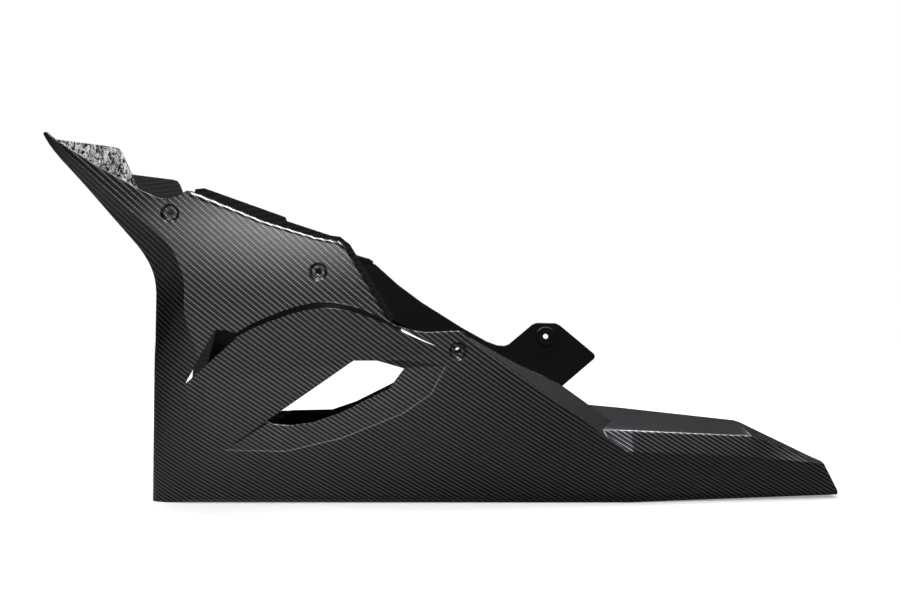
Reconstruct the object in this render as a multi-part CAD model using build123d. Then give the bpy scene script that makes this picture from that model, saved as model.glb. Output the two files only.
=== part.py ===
from build123d import *
import math
import os

# One-piece moulded belly pan for a motorcycle, in millimetres.
# +X runs to the rear, the left side of the machine is -Y, and the flat belly stands on Z = 0.

# Laminate and main section
WALL = 2.0
FLOOR_HALF = 102.0
LEAN = 0.18
BILGE_RADIUS = 12.0

# Leading edge of the horns: raked foot, bend, swept horn and tip
LEAD_FOOT_X = -316.0
LEAD_RAKE = 0.054
LEAD_BEND_Z = 246.4
LEAD_BEND_HALF = 26.0
LEAD_SWEEP = 0.9
LEAD_IN = 26.0
TIP_TOP = 380.5
TIP_HOOK = 14.0

# Front mouth above the chin
CHIN_TOP = 68.0
MOUTH_RADIUS = 28.0
MOUTH_DEPTH = 51.0

# Rear peak, slope and shoulders
PEAK_X = 20.0
PEAK_Z = 172.0
SLOPE = 0.716
SLOPE_END_X = 190.0
ROOF_RISE = 0.466
ROOF_REACH = 46.0
DECK_REACH = 132.0

# Tail: break in its deck, blunt nose, end width, lift of its floor and height of its end
BREAK_X = 322.0
TAIL_X = 418.5
NOSE_LENGTH = 17.0
NOSE_CAP = 10.0
TAIL_HALF = 57.0
TAIL_LIFT = 3.5
TAIL_TOP = 8.0
TAIL_RADIUS = 2.8
RIDGE_HALF = 14.0

# Screw wells: rim, floor, depth and hole
WELL_RIM = 9.5
WELL_FLOOR = 6.8
WELL_DEPTH = 4.5
HOLE_RADIUS = 3.2

COS = 1 / math.hypot(1, LEAN)
SIN = LEAN * COS
SIDE = Plane(origin=(0, -FLOOR_HALF, 0), x_dir=(1, 0, 0), z_dir=(0, -COS, -SIN))


def on_side(x, z, depth=0.0):
    """Point of the left side view as a point of the leaning side plane, depth mm inboard of it."""
    return (x, (z - depth * SIN) / COS)


def side_face(points, depth=0.0):
    """Closed straight-edged outline of the left side view, depth mm inboard of the outer skin."""
    outline = Polyline(*[on_side(x, z, depth) for x, z in points], close=True)
    return SIDE.offset(-depth) * make_face(outline)


def flat_outline(points, height):
    """Closed outline of the side view, laid on a plane height mm outboard of the outer skin."""
    return SIDE.offset(height) * make_face(Polyline(*[on_side(x, z) for x, z in points], close=True))


def through_side(points, outward, inward):
    """Bar with a side-view outline that crosses the skin."""
    return extrude(flat_outline(points, outward), -(outward + inward))


def right(shape):
    """The same form on the right-hand side."""
    return mirror(shape, about=Plane.XZ)


def half_width(z, inset=0.0):
    """Half the width across the leaning sides at height z."""
    return FLOOR_HALF + LEAN * z - inset / COS


def between(at, stations):
    """Straight-line value from a short list of (place, value)."""
    for (a0, v0), (a1, v1) in zip(stations, stations[1:]):
        if at <= a1:
            return v0 + (v1 - v0) * max(0.0, (at - a0) / (a1 - a0))
    return stations[-1][1]


def lead_x(z):
    """Leading edge of the pan in side view: raked foot, parabolic bend, swept horn, tip hooked upward."""
    foot = LEAD_FOOT_X + LEAD_RAKE * z
    into = z - (LEAD_BEND_Z - LEAD_BEND_HALF)
    if into <= 0:
        return foot
    if into <= 2 * LEAD_BEND_HALF:
        return foot - LEAD_SWEEP * into * into / (4 * LEAD_BEND_HALF)
    hook = max(0.0, z - TIP_TOP + TIP_HOOK)
    return foot - LEAD_SWEEP * (z - LEAD_BEND_Z) + hook * hook / (4 * TIP_HOOK)


def lead_heights(top):
    """Heights at which the leading edge is drawn through its bend and on up to the top."""
    high = LEAD_BEND_Z + LEAD_BEND_HALF
    hook = TIP_TOP - TIP_HOOK
    bend = [LEAD_BEND_Z + share * LEAD_BEND_HALF for share in (-1.6, -1, -0.4, 0.2, 0.7, 1.15)]
    return bend + [high + share * (hook - high) for share in (0.35, 0.7, 1)] + [(hook + top) / 2, top]


def peak(back, up):
    """Side-view point placed from the rear peak."""
    return (PEAK_X + back, PEAK_Z + up)


def slope_top(x):
    """Height of the side wall's edge under the rear slope."""
    return PEAK_Z - SLOPE * (x - PEAK_X)


TIP_X = lead_x(TIP_TOP)
SCREW_WELLS = [(-281.4, 298.5), (-133.5, 240.0), peak(-11.8, -12.5)]
TAB_WELL = peak(97, 1)


def section(x, half_points, radius):
    """Closed section across the pan at x, from the floor corner up to the middle, floor corners rounded."""
    left = [(-y, z) for y, z in half_points]
    points = left + [(y, z) for y, z in reversed(half_points)]
    face = make_face(Polyline(*points, close=True))
    corners = face.vertices().sort_by(Axis.Y)[:2]
    return Plane.YZ.offset(x) * fillet(corners, radius)


def trough(inset):
    """Straight V-shaped body from the horns to the rear peak."""
    top = TIP_TOP + 20
    front = TIP_X - 28
    points = [(half_width(inset, inset), inset), (half_width(top, inset), top)]
    return extrude(section(front, points, BILGE_RADIUS - inset), PEAK_X - front)


def slope_section(x, inset):
    """Section under the rear slope: side walls with inward rising shoulders."""
    top = slope_top(x) - inset * math.sqrt(1 + SLOPE ** 2 + ROOF_RISE ** 2)
    wide = half_width(top, inset)
    shoulder = (wide - ROOF_REACH, top + ROOF_RISE * ROOF_REACH)
    points = [(half_width(inset, inset), inset), (wide, top), shoulder]
    return section(x, points, BILGE_RADIUS - inset)


def slope_body(inset):
    return loft([slope_section(PEAK_X, inset), slope_section(SLOPE_END_X, inset)], ruled=True)


def tail_section(x, inset):
    """Faceted tail section at x: floor corner, side crease, shoulder crease and crowned deck."""
    start = SLOPE_END_X
    nose = TAIL_X - NOSE_LENGTH
    crease_z = slope_top(start) + 4.5
    along = max(0.0, (x - start) / (TAIL_X - start))
    floor_half = FLOOR_HALF + (TAIL_HALF - FLOOR_HALF) * along
    floor_z = TAIL_LIFT * along
    flare = between(x, [(start, LEAN * crease_z), (BREAK_X, 7.9), (nose, 5.6), (TAIL_X, 0.8)])
    crease = between(x, [(start, crease_z), (BREAK_X, crease_z - 8), (nose, crease_z - 17), (TAIL_X, TAIL_TOP)])
    tuck = between(x, [(start - 60, 6.4), (start, 10.4), (BREAK_X, 11), (nose, 12), (TAIL_X, 10)])
    shoulder = between(x, [(start - 60, 23.2), (start, 21.5), (BREAK_X, 21.5), (nose, 2), (TAIL_X, 1)])
    crown = between(x, [(start - 60, 44.5), (start, 39), (BREAK_X, 32.5), (nose, 3), (TAIL_X, 1.5)])
    drop = 0.0
    if x > nose:
        drop = 1.5 * inset
    side = floor_half + flare
    points = [
        (floor_half - inset, floor_z + inset),
        (side - inset, crease - 0.2 * inset - drop),
        (side - tuck - 0.8 * inset, crease + shoulder - 0.9 * inset - drop),
        (RIDGE_HALF, crease + crown - inset - drop),
    ]
    radius = between(x, [(start, BILGE_RADIUS), (TAIL_X, TAIL_RADIUS)])
    return section(x, points, radius - inset)


def tail_body(inset):
    end = TAIL_X
    if inset:
        end = TAIL_X - NOSE_CAP
    stations = [SLOPE_END_X - 60, SLOPE_END_X, BREAK_X, TAIL_X - NOSE_LENGTH - inset, end]
    return loft([tail_section(x, inset) for x in stations], ruled=True)


def front_x(z, depth):
    """Front corner of the pan: a soft round low down that hardens into a flat bevel on the horns."""
    up = z - LEAD_BEND_Z
    reach = between(up, [(-116, 56), (-41, 34), (10, 35), (24, 38), (50, 28), (106, 17), (154, 12)])
    power = between(up, [(-116, 2.6), (-81, 2.0), (-41, 1.0)])
    return lead_x(z) + reach * ((LEAD_IN - depth) / LEAD_IN) ** power


def front_slice(depth, rule):
    """Face in front of the pan, on a plane parallel to the side."""
    heights = [-20, 70, 130, 168] + lead_heights(TIP_TOP + 30)
    edge = [on_side(rule(z), z, depth) for z in heights]
    ahead = TIP_X - 150
    box = Polyline(edge[-1], (ahead, edge[-1][1]), (ahead, edge[0][1]), edge[0])
    return SIDE.offset(-depth) * make_face(Spline(*edge) + box)


def front_cut(inset):
    """What is cut away in front of the left half: corner bevel and front wall."""
    depths = [-6, 0, 0.35 * LEAD_IN, 0.7 * LEAD_IN, LEAD_IN]
    bevel = loft([front_slice(d, lambda z, d=d: front_x(z, d)) for d in depths])
    middle = half_width(TIP_TOP) + 20
    wall = loft([front_slice(d, lead_x) for d in (LEAD_IN, middle)], ruled=True)
    return [Pos(inset, inset, 0) * bevel, Pos(inset, inset, 0) * wall]


# Blade: a tapering wedge that stands proud of the side and ends in a sloping step along its upper edge
BLADE_CREST = (-127, 207.5)
BLADE_START = (-262, 128)
BLADE_END = (-15, 158)
BLADE_EDGE = [
    (-272, 127), (-244, 152), (-216, 177), (-184, 193), (-152, 204),
    BLADE_CREST, (-96, 202), (-61, 186.5), (-15, 163),
]
BLADE_PROUD = 6.0
BLADE_FOOT = 2.5


def blade_slice(height):
    """Plan of the blade at one height over the side; its step slopes at 45 degrees."""
    grow = BLADE_FOOT - height
    edge = [on_side(x, z + grow) for x, z in BLADE_EDGE]
    foot = Polyline(edge[-1], on_side(-15, 100), on_side(-272, 60), edge[0])
    return SIDE.offset(height) * make_face(Spline(*edge) + foot)


def blade(inset):
    step = loft([blade_slice(-8), blade_slice(BLADE_PROUD + 4)], ruled=True)
    start = SIDE.from_local_coords(Vector(*on_side(*BLADE_START), 0))
    along = SIDE.from_local_coords(Vector(*on_side(*BLADE_END), 0)) - start
    across = SIDE.from_local_coords(Vector(*on_side(*BLADE_CREST), BLADE_PROUD)) - start
    lid = Plane(origin=start, x_dir=along, z_dir=along.cross(across).normalized())
    above = lid * Box(900, 900, 60, align=(Align.CENTER, Align.CENTER, Align.MIN))
    return SIDE.offset(-inset).location * (SIDE.location.inverse() * (step - above))


# Sunk facet round the vent, and the vent itself, which on the right-hand side reaches further forward
SINK_DEPTH = 4.0
SINK_RIM = [
    (-238, 54), (-171, 53), (-112, 67), (-47, 93), (-16, 114), (0, 145), (-46, 150), (-99, 150),
]
SINK_FLOOR = [
    (-188, 84.5), (-165, 81), (-113, 94), (-63, 119), (-55, 130), (-46.5, 141.5), (-76, 149.3), (-99, 149.3),
]
VENT = [
    (-191, 86.3), (-99.4, 149.2), (-75.8, 149.4), (-47, 141), (-63.3, 119.6),
    (-113.5, 94.6), (-142.6, 84.7), (-165.4, 81.6), (-184, 83.1),
]
RIGHT_VENT = [
    (-212, 86.3), (-118, 151), (-86, 152), (-44, 146), (-63.3, 119.6), (-113.5, 94.6), (-142.6, 84.7), (-205, 83.5),
]


def sink(inset):
    rim = flat_outline(SINK_RIM, 0.3 - inset)
    floor = flat_outline(SINK_FLOOR, -SINK_DEPTH - inset)
    return loft([rim, floor], ruled=True)


def well(x, z, inset):
    """Well for one screw: tapered on the outside, a straight boss deeper and wider by the laminate inside."""
    over = 2.0
    height = WELL_DEPTH + over * WELL_DEPTH / (WELL_RIM - WELL_FLOOR)
    foot = (Align.CENTER, Align.CENTER, Align.MIN)
    if inset:
        cup = Cylinder(WELL_RIM + inset, height, align=foot)
    else:
        cup = Cone(WELL_FLOOR, WELL_RIM + over, height, align=foot)
    return SIDE.offset(-WELL_DEPTH - inset) * Pos(*on_side(x, z), 0) * cup


def plug(inset):
    """Outer form of the pan moved inward by inset; two of them make the moulded skin."""
    body = trough(inset) + slope_body(inset) + tail_body(inset)
    for cutter in front_cut(inset):
        body = body - cutter - right(cutter)
    fin = blade(inset)
    body = body + fin + right(fin)
    hollow = sink(inset)
    body = body - hollow - right(hollow)
    for x, z in SCREW_WELLS:
        cup = well(x, z, inset)
        body = body - cup - right(cup)
    return body


# Upper edges of the two sides, drawn in side view from the horn tip to the rear peak
HORN_DIP = (-285, 312.8)
HORN_SHARES = [(1, 1), (0.795, 0.789), (0.512, 0.454), (0.197, 0.127), (0.063, 0.015)]
DIP_TO_PANEL = [HORN_DIP, (-276, 314.6), (-263, 320.8)]
UPPER_EDGE = [(-258, 320.0), (-220.5, 304.6), (-187, 290.8), (-136, 275.2), (-111, 270.5)]
LEFT_REAR_EDGE = [
    (-106, 266), (-62, 190.5), (-56, 186), peak(-56, 8.4), peak(-45, 6.9), peak(-11, 8.3), peak(-5, 6.5),
    peak(0.4, 0.5),
]
RIGHT_REAR_EDGE = [
    (-99, 266.5), (-92, 262.5), (-64.4, 237.6), (-34.6, 215.4), peak(-5.2, 12.2), peak(0.4, 9),
]


def horn_point(share_x, share_z):
    """Point of the horn's upper edge, from the dip before the panel (0) to the tip (1)."""
    x = HORN_DIP[0] + share_x * (TIP_X - HORN_DIP[0])
    return (x, HORN_DIP[1] + share_z * (TIP_TOP + 1 - HORN_DIP[1]))


def waste_above(rear_edge):
    """Everything of one side wall that lies above its trimmed edge."""
    horn = [horn_point(*shares) for shares in HORN_SHARES]
    sky = TIP_TOP + 50
    corner = [(rear_edge[-1][0], sky), (TIP_X - 68, sky), (TIP_X - 68, TIP_TOP + 1)]
    return through_side(horn + DIP_TO_PANEL + UPPER_EDGE + rear_edge + corner, 15.0, LEAD_IN - 1.5)


# Slot between the blade's front end and the upper panel
SLOT = [
    (-273, 125), (-258, 151), (-241.5, 179), (-238.7, 181.3), (-227, 181), (-219.5, 177.8), (-217.6, 174),
    (-262.7, 134.3),
]

# Inner return of each horn, a fin behind its leading edge: depth below the tip and chord of its top corner,
# then height and chord of its rear edge
FIN_TOP = [(1.9, 1.6), (5.9, 9.3), (13.5, 63.1), (15.3, 67.1), (19.5, 66.7)]
FIN_SHOULDER = (54.5, 51.6)
FIN_EDGE = [(23.6, 25.5), (-24.4, 19.4), (-66.4, 23.3), (-102.4, 17.2), (-142.4, 5.4)]


def horn_fin():
    foot = LEAD_BEND_Z - 146.4
    heights = [foot, foot + 60] + lead_heights(TIP_TOP - 4.5)
    lead = [on_side(lead_x(z) + 1.0, z, LEAD_IN) for z in heights]
    rear = [(TIP_TOP - down, chord) for down, chord in FIN_TOP + [FIN_SHOULDER]]
    rear = rear + [(LEAD_BEND_Z + up, chord) for up, chord in FIN_EDGE]
    rest = [on_side(lead_x(z) + chord, z, LEAD_IN) for z, chord in rear]
    outline = Spline(*lead) + Polyline(lead[-1], *rest, lead[0])
    return extrude(SIDE.offset(-LEAD_IN) * make_face(outline), -WALL)


# Joggled flange that an upper fairing panel laps over
FLANGE_TOP = [(-255, 322.4), (-246, 323.2), (-165.6, 294.7), (-164.2, 290.8), (-120, 276.4)]
FLANGE_FOOT = [(-112.2, 267.8), (-136.6, 272.4), (-187.8, 288.0), (-221.4, 301.8), (-257, 316.6)]
LEFT_REAR_FLANGE = [(-111, 275.3), (-101, 267.5), (-57.5, 193.5), (-59, 190), (-65, 190.6), (-108.6, 264.6)]
LEFT_FLANGE = FLANGE_TOP + LEFT_REAR_FLANGE + FLANGE_FOOT
RIGHT_FLANGE = FLANGE_TOP + [(-111, 273), (-100, 270), (-95, 266.6), (-96.5, 263)] + FLANGE_FOOT

# Bracket tab on the right-hand rear slope
TAB_TOP = [
    peak(-16, 2), peak(-16, 14), peak(-5.2, 12.2), peak(25, -4.5), peak(37, -9), peak(46, -10), peak(52, -8),
    peak(81, 16.2), peak(85.9, 18.3), peak(109.3, 17.9), peak(115.4, 15),
]
TAB_REAR = [
    peak(156, -19.5), peak(157.6, -22.8), peak(156, -26), peak(114.2, -61.1), peak(101, -72.4),
]
TAB_ROOT = [(PEAK_X + back, slope_top(PEAK_X + back) - 7) for back in (98, 40, 0)]

# Opening between the rear shoulders, in plan: distance behind the peak and inboard of the side there
DECK_EDGE = [(0, 5.5), (49, 27), (78, 45), (109, 72), (127, 103)]


def deck_opening():
    wide = half_width(PEAK_Z)
    edge = [(PEAK_X + back, wide - inboard) for back, inboard in DECK_EDGE]
    left = [(x, -y) for x, y in edge]
    curve = Spline(*left, (PEAK_X + DECK_REACH, 0), *reversed(edge))
    front = Polyline(edge[0], (PEAK_X - 8, edge[0][1] - 1.5), (PEAK_X - 8, 1.5 - edge[0][1]), left[0])
    sky = TIP_TOP + 50
    shaft = extrude(make_face(curve + front), sky)
    end = SLOPE_END_X - 20
    slant = [peak(-20, 10), peak(0, -6), (end, slope_top(end) - 6), (end, sky), (PEAK_X - 20, sky)]
    over_roof = extrude(Plane.XZ * make_face(Polyline(*slant, close=True)), 2 * wide, both=True)
    return shaft & over_roof


def mouth():
    """Open front between the horns, above the chin."""
    inside = LEAD_IN + WALL
    top = TIP_TOP + 50
    front = TIP_X - 68
    points = [(half_width(CHIN_TOP, inside), CHIN_TOP), (half_width(top, inside), top)]
    return extrude(section(front, points, MOUTH_RADIUS), LEAD_FOOT_X + MOUTH_DEPTH - front)


def screw_hole(x, z):
    return SIDE.offset(-20) * Pos(*on_side(x, z), 0) * Cylinder(HOLE_RADIUS, 40)


skin = plug(0.0) - plug(WALL)
skin = skin - waste_above(LEFT_REAR_EDGE) - right(waste_above(RIGHT_REAR_EDGE))
skin = skin - deck_opening() - mouth()
skin = skin - Pos(0, 0, TIP_TOP) * Box(1200, 800, 200, align=(Align.CENTER, Align.CENTER, Align.MIN))
for left_outline, right_outline in ((VENT, RIGHT_VENT), (SLOT, SLOT)):
    skin = skin - through_side(left_outline, 14.0, 16.0) - right(through_side(right_outline, 14.0, 16.0))

left_fin = horn_fin()
left_flange = extrude(side_face(LEFT_FLANGE, WALL), -WALL)
right_flange = right(extrude(side_face(RIGHT_FLANGE, WALL), -WALL))
skin = skin + left_fin + right(left_fin) + left_flange + right_flange

inboard = SIDE * Box(1200, 1200, 40, align=(Align.CENTER, Align.CENTER, Align.MAX))
tab_cup = (well(*TAB_WELL, WALL) - well(*TAB_WELL, 0.0)) & inboard
tab = extrude(side_face(TAB_TOP + TAB_REAR + TAB_ROOT), -WALL) - well(*TAB_WELL, 0.0) + tab_cup
skin = skin + right(tab)

for x, z in SCREW_WELLS:
    skin = skin - screw_hole(x, z) - right(screw_hole(x, z))
skin = skin - right(screw_hole(*TAB_WELL))

# The origin lies under the middle of the pan, on the belly
rough = skin.bounding_box()
belly_pan = Pos(-(rough.min.X + rough.max.X) / 2, 0, 0) * skin
print("solids", len(belly_pan.solids()), "valid", belly_pan.is_valid, "volume", round(belly_pan.volume))

os.makedirs("parts", exist_ok=True)
export_step(belly_pan, "parts/belly_pan.step")
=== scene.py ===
import math

import bpy
import numpy as np
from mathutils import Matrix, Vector


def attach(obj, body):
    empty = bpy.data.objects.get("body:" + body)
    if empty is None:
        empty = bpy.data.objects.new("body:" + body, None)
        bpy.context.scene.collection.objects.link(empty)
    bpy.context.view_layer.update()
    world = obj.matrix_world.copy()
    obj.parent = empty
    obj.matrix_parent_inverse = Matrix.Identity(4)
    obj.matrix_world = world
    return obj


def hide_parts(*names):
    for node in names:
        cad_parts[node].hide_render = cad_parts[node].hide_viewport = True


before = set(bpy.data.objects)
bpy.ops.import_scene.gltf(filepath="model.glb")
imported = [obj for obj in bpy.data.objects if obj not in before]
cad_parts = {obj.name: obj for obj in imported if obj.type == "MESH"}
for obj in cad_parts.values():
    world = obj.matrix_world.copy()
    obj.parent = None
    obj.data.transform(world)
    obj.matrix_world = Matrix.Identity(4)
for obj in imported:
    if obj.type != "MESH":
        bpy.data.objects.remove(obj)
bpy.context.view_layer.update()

# Belly pan
# One moulded shell of twill carbon cloth in clear epoxy, laid up in a female mould, trimmed and clear coated.
# Its outside is the smooth mould side and its inside the bag side. Screws in its wells hold it on.
MM = 0.001
TAIL_X = 418.5
FLOOR_HALF = 102.0
LEAN = 0.18
SLANT = math.hypot(1, LEAN)


def corners_of(node):
    """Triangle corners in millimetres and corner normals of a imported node."""
    source = node.data
    place = np.empty(len(source.vertices) * 3)
    source.vertices.foreach_get("co", place)
    corner = np.empty(len(source.loops), dtype=np.int64)
    source.loops.foreach_get("vertex_index", corner)
    normal = np.empty(len(source.loops) * 3)
    source.corner_normals.foreach_get("vector", normal)
    return place.reshape(-1, 3)[corner].reshape(-1, 3, 3) / MM, normal.reshape(-1, 3, 3)


def unit(ways):
    """Each way divided by its length."""
    return ways / np.maximum(np.linalg.norm(ways, axis=-1), 1e-15)[..., None]


def facing_of(corners):
    """Unit normal of each triangle, from the cross product of two of its edges."""
    return unit(np.cross(corners[:, 1] - corners[:, 0], corners[:, 2] - corners[:, 0]))


def split(corners, normals, chosen, field):
    """Splits each chosen triangle that a field crosses, along the line where the field is nought.

    The corner that lies alone on its side comes first. Along each of its two edges the line lies at the share
    f0 / (f0 - f1) of the way, and the normals are carried along in the same share. A triangle with a corner
    nearly on the line stays whole.
    """
    nearly = 0.02
    field = np.where(chosen[:, None], field, 1)
    sign = field > 0
    crossed = (sign.sum(axis=1) == 1) | (sign.sum(axis=1) == 2)
    crossed &= np.abs(field).min(axis=1) > nearly
    alone = np.where(sign.sum(axis=1) == 1, np.argmax(sign, axis=1), np.argmin(sign, axis=1))[crossed]
    order = (alone[:, None] + np.arange(3)) % 3
    rows = np.arange(len(alone))[:, None]
    f = field[crossed][rows, order]
    results = []
    for values in (corners, normals):
        a, b, c = np.moveaxis(values[crossed][rows, order], 1, 0)
        p = a + (b - a) * (f[:, 0] / (f[:, 0] - f[:, 1]))[:, None]
        q = a + (c - a) * (f[:, 0] / (f[:, 0] - f[:, 2]))[:, None]
        new = [np.stack(three, axis=1) for three in ((a, p, q), (p, b, c), (p, c, q))]
        results.append(np.concatenate([values[~crossed]] + new))
    return results


corners, normals = corners_of(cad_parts["belly_pan"])
# Places along the pan are given as drawn, with the tail's end at TAIL_X, and SHIFT carries them to the frame
SHIFT = corners[:, :, 0].max() - TAIL_X


def side_depth(corners):
    """Depth of each corner behind the plain side, which leans out by LEAN for each unit of height."""
    return (FLOOR_HALF + LEAN * corners[..., 2] - np.abs(corners[..., 1])) / SLANT


def measures(corners):
    """Of each triangle: its facing, its facing outward, its mean side depth, and its middle as drawn."""
    middle = corners.mean(axis=1) - (SHIFT, 0, 0)
    facing = facing_of(corners)
    return facing, facing[:, 1] * np.sign(middle[:, 1]), side_depth(corners).mean(axis=1), middle


def within(values, limits):
    """True where a value lies between two limits."""
    return (values > limits[0]) & (values < limits[1])


def outward(corners, x, out, z):
    """A way at each corner, given as x, outward and z, so that it serves both sides of the pan."""
    side = np.sign(corners[..., 1])
    return np.stack([x + 0 * side, out * side, z + 0 * side], axis=-1)


# Upper side panel: along its upper and rear edges, given as points (x, z), the laminate rolls over. The rear
# edge rolls in 1 / REAR_SHARE of the width.
UPPER_EDGE = [(-263, 320.8), (-220.5, 304.6), (-187, 290.8), (-136, 275.2), (-111, 270.5)]
REAR_EDGE = [(-62, 190.5), (-106, 266), (-111, 270.5)]
UPPER_WAY = (0.3, 0, 0.95)
REAR_WAY = (0.86, 0, 0.5)
REAR_SHARE = 2.0
EDGE_ROLL = 4.0
EDGE_TURN = math.radians(42)
PANEL_X = (-262.5, -60)
PANEL_FOOT = 192
FLUSH = 0.3
SIDEWAYS = 0.9


def below_edge(corners):
    """Distance of each corner in from the panel's upper or rear edge, and the way out across that edge."""
    x, z = corners[..., 0] - SHIFT, corners[..., 2]
    top_x, top_z = np.array(UPPER_EDGE, dtype=float).T
    rear_x, rear_z = np.array(REAR_EDGE, dtype=float).T
    from_top = (np.interp(x, top_x, top_z) - z) * UPPER_WAY[2]
    from_rear = (np.interp(z, rear_z, rear_x) - x) * REAR_WAY[0] * REAR_SHARE
    nearer = from_top < from_rear
    return np.where(nearer, from_top, from_rear), np.where(nearer[..., None], UPPER_WAY, REAR_WAY)


def on_panel(corners):
    """Triangles of the upper side panel's outer face."""
    facing, out, depth, middle = measures(corners)
    panel = (out > SIDEWAYS) & (np.abs(depth) < FLUSH)
    return panel & within(middle[:, 0], PANEL_X) & (middle[:, 2] > PANEL_FOOT)


# Tail's shoulder: the line of points (x, y, z) where the tail's top folds down to its sides
SHOULDER = [(150, 103, 77.5), (190, 101.5, 76.3), (322, 71.6, 68.3)]
SHOULDER_ROLL = 3.0
SHOULDER_OUT = 0.58
SHOULDER_UP = 0.81
SHOULDER_FOOT = 40
LEAST_UP = 0.2


def from_shoulder(corners):
    """Distance of each corner from the tail's shoulder line, measured in the section across the pan."""
    line_x, line_y, line_z = np.array(SHOULDER, dtype=float).T
    x = corners[..., 0] - SHIFT
    aside = np.abs(corners[..., 1]) - np.interp(x, line_x, line_y)
    return np.hypot(aside, corners[..., 2] - np.interp(x, line_x, line_z))


def on_shoulder(corners):
    """Triangles of the two facets that meet at the tail's shoulder line."""
    facing, out, depth, middle = measures(corners)
    along = within(middle[:, 0], (SHOULDER[0][0], SHOULDER[-1][0]))
    return (facing[:, 2] > LEAST_UP) & along & (middle[:, 2] > SHOULDER_FOOT)


# Sunk facet round the vent: a shallow dish. Its lower rim is a narrow bead that stands about upright, and it
# faces further down with each millimetre above BEAD_LEVEL.
SINK_X = (-240, 2)
SINK_Z = (48, 152)
SINK_DEPTH = (0.02, 4.6)
SINK_OUT = (0.9, 0.99999)
RIM_DEPTH = 2.0
RIM_SHARE = 0.6
BEAD_DEPTH = 0.18
BEAD_LEVEL = 70
BEAD_RISE = 0.0105
BEAD_RISE_LOST = 0.0008
TILT = 0.03


def in_sink(corners):
    """Triangles of the sunk facet round the vent."""
    facing, out, depth, middle = measures(corners)
    sunk = within(out, SINK_OUT) & within(depth, SINK_DEPTH)
    return sunk & within(middle[:, 0], SINK_X) & within(middle[:, 2], SINK_Z)


def on_lower_rim(corners):
    """Triangles of the sunk facet that face further up than the plain side, which lie along its lower rim."""
    return in_sink(corners) & (facing_of(corners)[:, 2] > TILT - LEAN)


# Blade's step: the slope along the upper edge of the raised blade, which is round at the rear end
STEP_X = (-235, -12)
STEP_Z = (118, 214)
STEP_DEPTH = (-6.5, 0.6)
STEP_OUT = (0.4, 0.9)
STEP_UP = 0.4
STEP_END = (-57, -47)
STEP_END_WAY = (0.04, 0.9, 0.43)


def on_step(corners):
    """Triangles of the blade's step."""
    facing, out, depth, middle = measures(corners)
    step = (facing[:, 2] > STEP_UP) & within(out, STEP_OUT) & within(depth, STEP_DEPTH)
    return step & within(middle[:, 0], STEP_X) & within(middle[:, 2], STEP_Z)


for place in STEP_END:
    corners, normals = split(corners, normals, on_step(corners), corners[..., 0] - SHIFT - place)
corners, normals = split(corners, normals, on_lower_rim(corners), side_depth(corners) - BEAD_DEPTH)
corners, normals = split(corners, normals, on_panel(corners), below_edge(corners)[0] - EDGE_ROLL)
corners, normals = split(corners, normals, on_shoulder(corners), from_shoulder(corners) - SHOULDER_ROLL)

# Over a rolled edge the normals turn from the face's own to the way across the edge
inward, way_out = below_edge(corners)
turn = EDGE_TURN * np.clip(1 - inward / EDGE_ROLL, 0, 1) * on_panel(corners)[:, None]
normals = normals * np.cos(turn)[..., None] + way_out * np.sin(turn)[..., None]
near = np.clip(1 - from_shoulder(corners) / SHOULDER_ROLL, 0, 1) * on_shoulder(corners)[:, None]
fold = outward(corners, 0, SHOULDER_OUT, SHOULDER_UP)
normals = unit(normals * (1 - near)[..., None] + fold * near[..., None])

# Corners that lie within a thousandth of a millimetre become one vertex
SAME_PLACE = 0.001
keys = np.round(corners.reshape(-1, 3) / SAME_PLACE).astype(np.int64)
first, joined = np.unique(keys, axis=0, return_index=True, return_inverse=True)[1:]
points = corners.reshape(-1, 3)[first] * MM
triangles = joined.reshape(-1, 3)
whole = (triangles != np.roll(triangles, 1, axis=1)).all(axis=1)
corners, normals, triangles = corners[whole], normals[whole], triangles[whole]
facing, out, depth, middle = measures(corners)

# The sunk facet's triangles share a mean normal, which leans to the plain side's towards the rim
sunk = in_sink(corners)
total = np.zeros((len(points), 3))
for k in range(3):
    np.add.at(total, triangles[sunk, k], facing[sunk])
at_rim = RIM_SHARE * np.clip(1 - side_depth(corners[sunk]) / RIM_DEPTH, 0, 1)[..., None]
plain = outward(corners[sunk], 0, 1 / SLANT, -LEAN / SLANT)
normals[sunk] = unit(unit(total[triangles[sunk]]) * (1 - at_rim) + plain * at_rim)
bead = on_lower_rim(corners) & (depth < BEAD_DEPTH)
rise = BEAD_RISE - BEAD_RISE_LOST * (corners[bead][..., 2] - BEAD_LEVEL)
normals[bead] = unit(outward(corners[bead], 0, 1, rise))

# The normals of the blade's step turn to face outward at the rear end
step = on_step(corners)
share = np.interp(corners[step][..., 0] - SHIFT, STEP_END, (0, 1))[..., None]
normals[step] = unit(normals[step] * (1 - share) + outward(corners[step], *STEP_END_WAY) * share)

# Bag side: the inside of the sides, the belly's upper face, the deck's underside and the back of the chin
FACES_IN = -0.25
LEVEL = 0.95
BELLY_UP = 0.6
BELLY_TOP = 12.5
DECK_DOWN = -0.2
DECK_FOOT = 16
DECK_FRONT = 13.2
DECK_HALF = 128
CHIN_FACES_BACK = 0.5
CHIN_OUT = 0.3
CHIN_BACK = -246.8
CHIN_TOP = 120
x, y, z = middle.T
bag = (out < FACES_IN) & (np.abs(facing[:, 2]) < LEVEL)
bag |= (facing[:, 2] > BELLY_UP) & (z < BELLY_TOP)
bag |= (facing[:, 2] < DECK_DOWN) & (z > DECK_FOOT) & (x > DECK_FRONT) & (np.abs(y) < DECK_HALF)
bag |= (facing[:, 0] > CHIN_FACES_BACK) & (x < CHIN_BACK) & (z < CHIN_TOP) & (out < CHIN_OUT)

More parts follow.
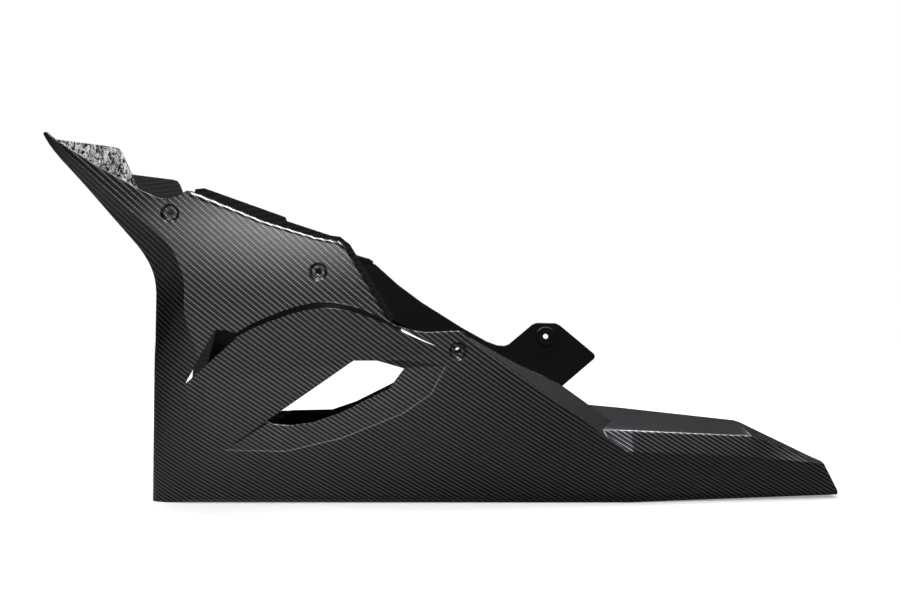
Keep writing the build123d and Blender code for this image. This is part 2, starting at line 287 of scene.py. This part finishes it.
# Fins inside the horns: puckered on the face that looks outward, uncoated on the face that looks inward
FIN_DEPTH = 27.0
FIN_SLACK = 1.4
FIN_REAR = -258.8
FIN_FOOT = 95
SQUARE_ON = 0.97
fin = (np.abs(depth - FIN_DEPTH) < FIN_SLACK) & (np.abs(out) > SQUARE_ON)
fin &= (x < FIN_REAR) & (z > FIN_FOOT)
bag &= ~fin

# Lap flanges: the set-back strips along the panel's upper and rear edges
FLANGE_DEPTH = 3.0
FLANGE_SLACK = 1.3
FLANGE_REACH = 1.5
FLANGE_OUT = 0.5
FLANGE_X = (FIN_REAR, -51.8)
FLANGE_FOOT = 185
flange = (np.abs(depth - FLANGE_DEPTH) < FLANGE_SLACK) & (out > FLANGE_OUT)
flange &= below_edge(corners)[0].mean(axis=1) < FLANGE_REACH
flange &= within(x, FLANGE_X) & (z > FLANGE_FOOT)

# Finish of each triangle: 0 mould side, 1 bag side, 2 uncoated, 3 puckered fin, 4 the blade's step in
# painted shade
zone = np.select([fin & (out > 0), step, flange | fin, bag], [3, 4, 2, 1], 0)

# Cloth coordinates in metres: along the side on upright faces, in plan on flat ones, across on the front
UPRIGHT = 0.4
upright = np.abs(facing[:, 1]) > UPRIGHT
flat = ~upright & (np.abs(facing[:, 2]) >= np.abs(facing[:, 0]))
cloth = np.empty((len(triangles), 3, 2))
cloth[:, :, 0] = np.where((upright | flat)[:, None], corners[:, :, 0], corners[:, :, 1]) * MM
cloth[:, :, 1] = np.where(flat[:, None], corners[:, :, 1], corners[:, :, 2] * SLANT) * MM

pan_mesh = bpy.data.meshes.new("belly_pan_shell")
pan_mesh.from_pydata(points.tolist(), [], triangles.tolist())
pan_mesh.polygons.foreach_set("use_smooth", np.ones(len(triangles), dtype=bool))
pan_mesh.polygons.foreach_set("material_index", zone.astype(np.int32))
weave_map = pan_mesh.uv_layers.new(name="weave")
weave_map.data.foreach_set("uv", cloth.reshape(-1).astype(np.float32))
pan_mesh.update()
pan_mesh.normals_split_custom_set(normals.reshape(-1, 3).tolist())
pan = bpy.data.objects.new("belly_pan_shell", pan_mesh)
bpy.context.scene.collection.objects.link(pan)


def colour(hex_code):
    """sRGB hex to linear RGBA: c / 12.92 up to 0.04045, above it ((c + 0.055) / 1.055) to the power 2.4."""
    parts = [int(hex_code[i:i + 2], 16) / 255 for i in (1, 3, 5)]
    return tuple(c / 12.92 if c <= 0.04045 else ((c + 0.055) / 1.055) ** 2.4 for c in parts) + (1.0,)


def add(tree, kind, settings=None, **inputs):
    """Adds one node, sets its properties, and sets or links its inputs by name (in0, in1 by place)."""
    node = tree.nodes.new(kind)
    for name, value in (settings or {}).items():
        setattr(node, name, value)
    for name, value in inputs.items():
        key = int(name[2:]) if name[:2] == "in" and name[2:].isdigit() else name.replace("_", " ")
        socket = node.inputs[key]
        if isinstance(value, bpy.types.NodeSocket):
            tree.links.new(value, socket)
        else:
            socket.default_value = value
    return node


def new_material(name):
    """A material with an empty node tree, and that tree."""
    material = bpy.data.materials.new(name)
    material.use_nodes = True
    material.node_tree.nodes.clear()
    return material, material.node_tree


# Clear-coated 2x2 twill carbon, mould side: dark tows under gloss resin. The weave is the cloth's own; the
# rows of pale spots on the weft crowns are a painted highlight in the base colour, and the darker warp tows
# are painted shade, in place of the fibres' sheen. In each repeat of four tows the weft lies over two. Along
# the pan the tows are TOWS_CLOSER times as close. Draping shears the cloth below DRAPE_TOP, so that its rows
# lie closer together towards the bottom.
TOW = 2.0 * MM
TOWS_CLOSER = 1.43
CLOTH_TURN = math.radians(12)
DRAPE_TOP = 250 * MM
DRAPE_GAIN = 1.3
REPEAT = 4.0
WEFT_OVER = 1.5
HALF_FLOAT = 1.0
coated, tree = new_material("clear_coated_twill_carbon")
cloth_uv = add(tree, "ShaderNodeUVMap", {"uv_map": "weave"})
flat_cloth = add(tree, "ShaderNodeSeparateXYZ", in0=cloth_uv.outputs[0])
cloth_space = add(tree, "ShaderNodeTexCoord")
height = add(tree, "ShaderNodeSeparateXYZ", in0=cloth_space.outputs["Object"]).outputs[2]
below = add(tree, "ShaderNodeMath", {"operation": "SUBTRACT", "use_clamp": True}, in0=DRAPE_TOP,
            in1=height).outputs[0]
squeeze = add(tree, "ShaderNodeMath", {"operation": "MULTIPLY"}, in0=below, in1=below).outputs[0]
draped = add(tree, "ShaderNodeMath", {"operation": "MULTIPLY_ADD"}, in0=squeeze, in1=-DRAPE_GAIN,
             in2=flat_cloth.outputs[1]).outputs[0]
shaped = add(tree, "ShaderNodeCombineXYZ", in0=flat_cloth.outputs[0], in1=draped)
turned = add(tree, "ShaderNodeMapping", Vector=shaped.outputs[0], Rotation=(0, 0, CLOTH_TURN),
             Scale=(-TOWS_CLOSER / TOW, 1 / TOW, 1))
axes = add(tree, "ShaderNodeSeparateXYZ", in0=turned.outputs[0])
u, v = axes.outputs[0], axes.outputs[1]
column = add(tree, "ShaderNodeMath", {"operation": "FLOOR"}, in0=u).outputs[0]
row = add(tree, "ShaderNodeMath", {"operation": "FLOOR"}, in0=v).outputs[0]
lag = add(tree, "ShaderNodeMath", {"operation": "SUBTRACT"}, in0=column, in1=row).outputs[0]
pick = add(tree, "ShaderNodeMath", {"operation": "FLOORED_MODULO"}, in0=lag, in1=REPEAT).outputs[0]
weft_up = add(tree, "ShaderNodeMath", {"operation": "LESS_THAN"}, in0=pick, in1=WEFT_OVER).outputs[0]

# Place along each tow's float, from -1 to 1, and across the tow, from -0.5 to 0.5
weft_run = add(tree, "ShaderNodeMath", {"operation": "SUBTRACT"}, in0=u, in1=row).outputs[0]
weft_run = add(tree, "ShaderNodeMath", {"operation": "FLOORED_MODULO"}, in0=weft_run, in1=REPEAT).outputs[0]
weft_run = add(tree, "ShaderNodeMath", {"operation": "SUBTRACT"}, in0=weft_run, in1=HALF_FLOAT).outputs[0]
weft_across = add(tree, "ShaderNodeMath", {"operation": "FRACT"}, in0=v).outputs[0]
weft_across = add(tree, "ShaderNodeMath", {"operation": "SUBTRACT"}, in0=weft_across, in1=0.5).outputs[0]
warp_run = add(tree, "ShaderNodeMath", {"operation": "SUBTRACT"}, in0=v, in1=column).outputs[0]
warp_run = add(tree, "ShaderNodeMath", {"operation": "ADD"}, in0=warp_run, in1=REPEAT - 1).outputs[0]
warp_run = add(tree, "ShaderNodeMath", {"operation": "FLOORED_MODULO"}, in0=warp_run, in1=REPEAT).outputs[0]
warp_run = add(tree, "ShaderNodeMath", {"operation": "SUBTRACT"}, in0=warp_run, in1=HALF_FLOAT).outputs[0]
warp_across = add(tree, "ShaderNodeMath", {"operation": "FRACT"}, in0=u).outputs[0]
warp_across = add(tree, "ShaderNodeMath", {"operation": "SUBTRACT"}, in0=warp_across, in1=0.5).outputs[0]


def crown(tree, run, across):
    """Height of a tow over its float: (1 - run squared) times (1 - 4 across squared), never below nought."""
    rest = {"operation": "SUBTRACT", "use_clamp": True}
    along = add(tree, "ShaderNodeMath", {"operation": "MULTIPLY"}, in0=run, in1=run).outputs[0]
    along = add(tree, "ShaderNodeMath", rest, in0=1.0, in1=along).outputs[0]
    over = add(tree, "ShaderNodeMath", {"operation": "MULTIPLY"}, in0=across, in1=across).outputs[0]
    over = add(tree, "ShaderNodeMath", {"operation": "MULTIPLY"}, in0=over, in1=4.0).outputs[0]
    over = add(tree, "ShaderNodeMath", rest, in0=1.0, in1=over).outputs[0]
    return add(tree, "ShaderNodeMath", {"operation": "MULTIPLY"}, in0=along, in1=over).outputs[0]


weft_crown = crown(tree, weft_run, weft_across)
warp_crown = crown(tree, warp_run, warp_across)
# Painted highlight: the middle of each weft crown is painted pale, and the warp tows are kept darker as
# painted shade, with only a faint painted highlight on their crowns
painted_weft_glint = add(tree, "ShaderNodeMath", {"operation": "MULTIPLY"}, in0=weft_crown, in1=weft_crown).outputs[0]
weft_tone_painted_glint = add(tree, "ShaderNodeMix", {"data_type": "RGBA"}, in0=painted_weft_glint,
                in6=colour("#121214"), in7=colour("#a6a6ab"))
warp_tone_painted_shade = add(tree, "ShaderNodeMix", {"data_type": "RGBA"}, in0=warp_crown,
                in6=colour("#0e0e10"), in7=colour("#262629"))
tow_tone_painted_sheen = add(tree, "ShaderNodeMix", {"data_type": "RGBA"}, in0=weft_up,
               in6=warp_tone_painted_shade.outputs[2], in7=weft_tone_painted_glint.outputs[2])
relief = add(tree, "ShaderNodeMix", {"data_type": "FLOAT"}, in0=weft_up, in2=warp_crown, in3=weft_crown)
soft_edge = add(tree, "ShaderNodeBevel", {"samples": 6}, Radius=1.2 * MM)
tow_normal = add(tree, "ShaderNodeBump", Strength=0.3, Distance=0.2 * MM, Height=relief.outputs[0],
                 Normal=soft_edge.outputs[0])
shell = add(tree, "ShaderNodeBsdfPrincipled", Base_Color=tow_tone_painted_sheen.outputs[2], Metallic=0.95, Roughness=0.4,
            IOR=1.5, Normal=tow_normal.outputs[0], Coat_Weight=1.0, Coat_Roughness=0.06, Coat_IOR=1.42,
            Coat_Normal=soft_edge.outputs[0])
add(tree, "ShaderNodeOutputMaterial", Surface=shell.outputs[0])

# Bag-side carbon, inside: resin-rich and wrinkled by the vacuum bag, so its gloss breaks into flecks
WRINKLE = 6.25 * MM
bagged, tree = new_material("bag_side_carbon")
bag_space = add(tree, "ShaderNodeTexCoord")
wrinkle = add(tree, "ShaderNodeTexNoise", {"noise_dimensions": "3D"}, Vector=bag_space.outputs["Object"],
              Scale=1 / WRINKLE, Detail=5.0, Roughness=0.65, Distortion=0.6)
bag_edge = add(tree, "ShaderNodeBevel", {"samples": 4}, Radius=0.8 * MM)
bag_normal = add(tree, "ShaderNodeBump", Strength=0.12, Distance=1.0 * MM, Height=wrinkle.outputs[0],
                 Normal=bag_edge.outputs[0])
resin = add(tree, "ShaderNodeBsdfPrincipled", Base_Color=colour("#09090a"), Roughness=0.1, IOR=1.45,
            Normal=bag_normal.outputs[0])
add(tree, "ShaderNodeOutputMaterial", Surface=resin.outputs[0])

# Uncoated carbon, lap flanges and inner faces of the fins: left without clear coat, because other panels
# cover them, so the cloth shows as faint dull rows. One band of a wave texture at scale 1 is pi / 10 wide.
CLOTH_ROW = 5.6 * MM
ROW_TURN = math.radians(8)
lap, tree = new_material("uncoated_carbon_lap_flange")
lap_space = add(tree, "ShaderNodeTexCoord")
row_space = add(tree, "ShaderNodeMapping", Vector=lap_space.outputs["Object"], Rotation=(0, ROW_TURN, 0))
rows = add(tree, "ShaderNodeTexWave", {"bands_direction": "Z"}, Vector=row_space.outputs[0],
           Scale=math.pi / 10 / CLOTH_ROW, Distortion=0.4, Detail=1.0)
lap_tone = add(tree, "ShaderNodeMix", {"data_type": "RGBA"}, in0=rows.outputs[1],
               in6=colour("#060608"), in7=colour("#1a1a1e"))
lap_edge = add(tree, "ShaderNodeBevel", {"samples": 4}, Radius=0.6 * MM)
lap_shell = add(tree, "ShaderNodeBsdfPrincipled", Base_Color=lap_tone.outputs[2], Roughness=0.6, IOR=1.25,
                Normal=lap_edge.outputs[0])
add(tree, "ShaderNodeOutputMaterial", Surface=lap_shell.outputs[0])

# Puckered bag side, outboard face of the horn fins: thick resin drawn into sharp upright puckers, glossy as
# glass. Its pale flecks are painted reflection: white spots in the base colour in place of the bright room
# that the puckers mirror
PUCKER = 4.348 * MM
PAINTED_GLINT_SIZE = 4.762 * MM
UPRIGHT_STRETCH = 0.55
puckers, tree = new_material("puckered_bag_side_carbon")
pucker_space = add(tree, "ShaderNodeTexCoord")
stretched = add(tree, "ShaderNodeMapping", Vector=pucker_space.outputs["Object"],
                Scale=(1, 1, UPRIGHT_STRETCH))
pucker = add(tree, "ShaderNodeTexNoise", Vector=stretched.outputs[0], Scale=1 / PUCKER, Detail=4.0,
             Roughness=0.6, Distortion=1.2)
pucker_normal = add(tree, "ShaderNodeBump", Strength=1.0, Distance=7.0 * MM, Height=pucker.outputs[0])
painted_glint_noise = add(tree, "ShaderNodeTexNoise", Vector=stretched.outputs[0], Scale=1 / PAINTED_GLINT_SIZE, Detail=4.0,
            Roughness=0.75, Distortion=1.6)
# Painted reflection: the base colour turns from black to white where the noise passes its middle
painted_glint_share = add(tree, "ShaderNodeMapRange", {"interpolation_type": "SMOOTHSTEP"}, in0=painted_glint_noise.outputs[0],
                 in1=0.45, in2=0.55).outputs[0]
resin_tone_painted_glints = add(tree, "ShaderNodeMix", {"data_type": "RGBA"}, in0=painted_glint_share, in6=colour("#08080a"),
                 in7=colour("#fafafa"))
pucker_resin = add(tree, "ShaderNodeBsdfPrincipled", Base_Color=resin_tone_painted_glints.outputs[2], Roughness=0.06,
                   IOR=1.6, Normal=pucker_normal.outputs[0])
add(tree, "ShaderNodeOutputMaterial", Surface=pucker_resin.outputs[0])

# Painted shade: along the blade's step the cloth gives way to plain black gloss, which stands in for the dark
# band of shade there
RIPPLE = 2.381 * MM
blade_step_shade_material, tree = new_material("painted_shade_blade_step")
fold_space = add(tree, "ShaderNodeTexCoord")
ripple = add(tree, "ShaderNodeTexNoise", Vector=fold_space.outputs["Object"], Scale=1 / RIPPLE, Detail=2.0)
fold_edge = add(tree, "ShaderNodeBevel", {"samples": 6}, Radius=1.0 * MM)
fold_normal = add(tree, "ShaderNodeBump", Strength=0.15, Distance=0.6 * MM, Height=ripple.outputs[0],
                  Normal=fold_edge.outputs[0])
blade_step_shade_shell = add(tree, "ShaderNodeBsdfPrincipled", Base_Color=colour("#08080a"), Roughness=0.12, IOR=1.45,
                 Normal=fold_normal.outputs[0])
add(tree, "ShaderNodeOutputMaterial", Surface=blade_step_shade_shell.outputs[0])

for material in (coated, bagged, lap, puckers, blade_step_shade_material):
    pan_mesh.materials.append(material)
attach(pan, "root")
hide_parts("belly_pan")

# Studio floor
# A seamless paper sweep that the pan stands on, white to the camera, with the pan's soft shadow. Two pools of
# light lie on it beside the pan, a strong one further off and a faint one nearer. The camera doesn't see
# them, but the pan's gloss shows them.
FLOOR_FRONT = -2.4
FLOOR_REACH = 6.0
POOL_PLACE = (-0.25, -1.28)
POOL_SIZE = (0.4, 0.52)
POOL_STRENGTH = 8.0
NEAR_POOL_PLACE = (-0.28, -0.5)
NEAR_POOL_SIZE = (0.5, 0.6)
NEAR_POOL_STRENGTH = 0.4
SHADOW_REACH = (0.45, 1.3)
SHADOW_WHITE = 0.35
floor_corners = [(-FLOOR_REACH, FLOOR_FRONT, 0), (FLOOR_REACH, FLOOR_FRONT, 0),
                 (FLOOR_REACH, FLOOR_REACH, 0), (-FLOOR_REACH, FLOOR_REACH, 0)]
floor_mesh = bpy.data.meshes.new("studio_floor")
floor_mesh.from_pydata(floor_corners, [], [(0, 1, 2, 3)])
floor = bpy.data.objects.new("studio_floor", floor_mesh)
bpy.context.scene.collection.objects.link(floor)


def light_pool(tree, space, place, size, strength):
    """Oval pool of light: full strength at its place, falling smoothly to nought at its half widths."""
    oval = add(tree, "ShaderNodeMapping", {"vector_type": "TEXTURE"}, Vector=space, Location=place + (0,),
               Scale=size + (1,))
    reach = add(tree, "ShaderNodeVectorMath", {"operation": "LENGTH"}, in0=oval.outputs[0])
    return add(tree, "ShaderNodeMapRange", {"interpolation_type": "SMOOTHSTEP"}, in0=reach.outputs["Value"],
               in1=0.0, in2=1.0, in3=strength, in4=0.0).outputs[0]


sweep, tree = new_material("white_paper_sweep")
path = add(tree, "ShaderNodeLightPath")
seen = add(tree, "ShaderNodeMath", {"operation": "MAXIMUM"}, in0=path.outputs["Is Camera Ray"],
           in1=path.outputs["Is Transmission Ray"]).outputs[0]
floor_space = add(tree, "ShaderNodeTexCoord").outputs["Object"]
pool = light_pool(tree, floor_space, POOL_PLACE, POOL_SIZE, POOL_STRENGTH)
near_pool = light_pool(tree, floor_space, NEAR_POOL_PLACE, NEAR_POOL_SIZE, NEAR_POOL_STRENGTH)
pools = add(tree, "ShaderNodeMath", {"operation": "ADD"}, in0=pool, in1=near_pool).outputs[0]
away = add(tree, "ShaderNodeVectorMath", {"operation": "LENGTH"}, in0=floor_space).outputs["Value"]
white = add(tree, "ShaderNodeMapRange", {"interpolation_type": "SMOOTHSTEP"}, in0=away, in1=SHADOW_REACH[0],
            in2=SHADOW_REACH[1], in3=SHADOW_WHITE, in4=1.0).outputs[0]
lift = add(tree, "ShaderNodeMix", {"data_type": "FLOAT"}, in0=seen, in2=pools, in3=white).outputs[0]
tint = add(tree, "ShaderNodeMix", {"data_type": "RGBA"}, in0=seen, in6=colour("#747474"),
           in7=colour("#e8e8e8"))
paper = add(tree, "ShaderNodeBsdfDiffuse", Color=tint.outputs[2])
glow = add(tree, "ShaderNodeEmission", Color=(1, 1, 1, 1), Strength=lift)
lit_paper = add(tree, "ShaderNodeAddShader", in0=paper.outputs[0], in1=glow.outputs[0])
add(tree, "ShaderNodeOutputMaterial", Surface=lit_paper.outputs[0])
floor_mesh.materials.append(sweep)

# Studio light
# A room that is white to the camera and dim to the pan, darkest ahead of the horns and dim on the far side.
# Two softboxes light the cloth, one overhead and one in front, and two more are there only for the gloss.
ROOM_AHEAD = 0.03
ROOM_LEVEL = 0.12
ROOM_BEHIND = 0.3
world = bpy.data.worlds.new("studio_room")
bpy.context.scene.world = world
world.use_nodes = True
tree = world.node_tree
tree.nodes.clear()
room_path = add(tree, "ShaderNodeLightPath")
backdrop = add(tree, "ShaderNodeMath", {"operation": "MAXIMUM"}, in0=room_path.outputs["Is Camera Ray"],
               in1=room_path.outputs["Is Transmission Ray"]).outputs[0]
direction = add(tree, "ShaderNodeTexCoord")
way = add(tree, "ShaderNodeSeparateXYZ", in0=direction.outputs["Generated"])
ahead = add(tree, "ShaderNodeMapRange", in0=way.outputs[0], in1=-0.8, in2=-0.2, in3=ROOM_AHEAD,
            in4=ROOM_LEVEL).outputs[0]
behind = add(tree, "ShaderNodeMapRange", in0=way.outputs[1], in1=-0.1, in2=0.6, in3=1.0,
             in4=ROOM_BEHIND).outputs[0]
dim = add(tree, "ShaderNodeMath", {"operation": "MULTIPLY"}, in0=ahead, in1=behind).outputs[0]
level = add(tree, "ShaderNodeMix", {"data_type": "FLOAT"}, in0=backdrop, in2=dim, in3=1.0).outputs[0]
room = add(tree, "ShaderNodeBackground", Color=(1, 1, 1, 1), Strength=level)
add(tree, "ShaderNodeOutputWorld", Surface=room.outputs[0])


def softbox(name, place, aim, width, length, power):
    """Rectangular area lamp at place, turned to face aim."""
    lamp = bpy.data.lights.new(name, "AREA")
    lamp.shape = "RECTANGLE"
    lamp.size = width
    lamp.size_y = length
    lamp.energy = power
    holder = bpy.data.objects.new(name, lamp)
    holder.location = place
    holder.rotation_euler = (Vector(place) - Vector(aim)).to_track_quat("Z", "Y").to_euler()
    bpy.context.scene.collection.objects.link(holder)
    return holder


# Overhead, for the cloth and the soft shadow
overhead = softbox("softbox_overhead", (0.0, 0.2, 1.25), (0.0, 0.2, 0.0), 2.0, 0.7, 14.0)
overhead.visible_glossy = False
# Overhead, for the gloss of the deck and the bright line along the tail's shoulder
rim = softbox("rim_softbox_overhead", (0.0, 0.2, 1.24), (0.0, 0.2, 0.0), 2.0, 0.36, 34.0)
rim.visible_diffuse = False
# In front and high, for the white line on the panel's rolled edge and the glint at the step's rear end
strip = softbox("strip_softbox_front", (-0.05, -0.99, 1.286), (-0.05, -0.155, 0.29), 0.42, 0.46, 24.0)
strip.visible_diffuse = False
# In front, for the fin's pale flecks of painted reflection
key = softbox("key_softbox_front", (-0.3, -1.4, 1.3), (-0.2, -0.1, 0.15), 1.0, 1.0, 26.0)
key.visible_glossy = False

# Camera
# Level and square to the left side of the pan, as the photograph was taken. The focal length, the picture's
# width and the rise of its middle are in pixels.
FOCAL_LENGTH = 1281
PICTURE_WIDTH = 900
PICTURE_RISE = 32
CAMERA_AWAY = 1.441
CAMERA_HEIGHT = 0.1793
lens = bpy.data.cameras.new("photo_camera")
lens.sensor_width = 36.0
lens.lens = lens.sensor_width * FOCAL_LENGTH / PICTURE_WIDTH
lens.shift_y = PICTURE_RISE / PICTURE_WIDTH
lens.clip_start = 0.01
camera = bpy.data.objects.new("photo_camera", lens)
camera.location = (SHIFT * MM, -CAMERA_AWAY, CAMERA_HEIGHT)
camera.rotation_euler = (math.radians(90), 0, 0)
bpy.context.scene.collection.objects.link(camera)
bpy.context.scene.camera = camera
bpy.context.scene.view_settings.view_transform = "Standard"
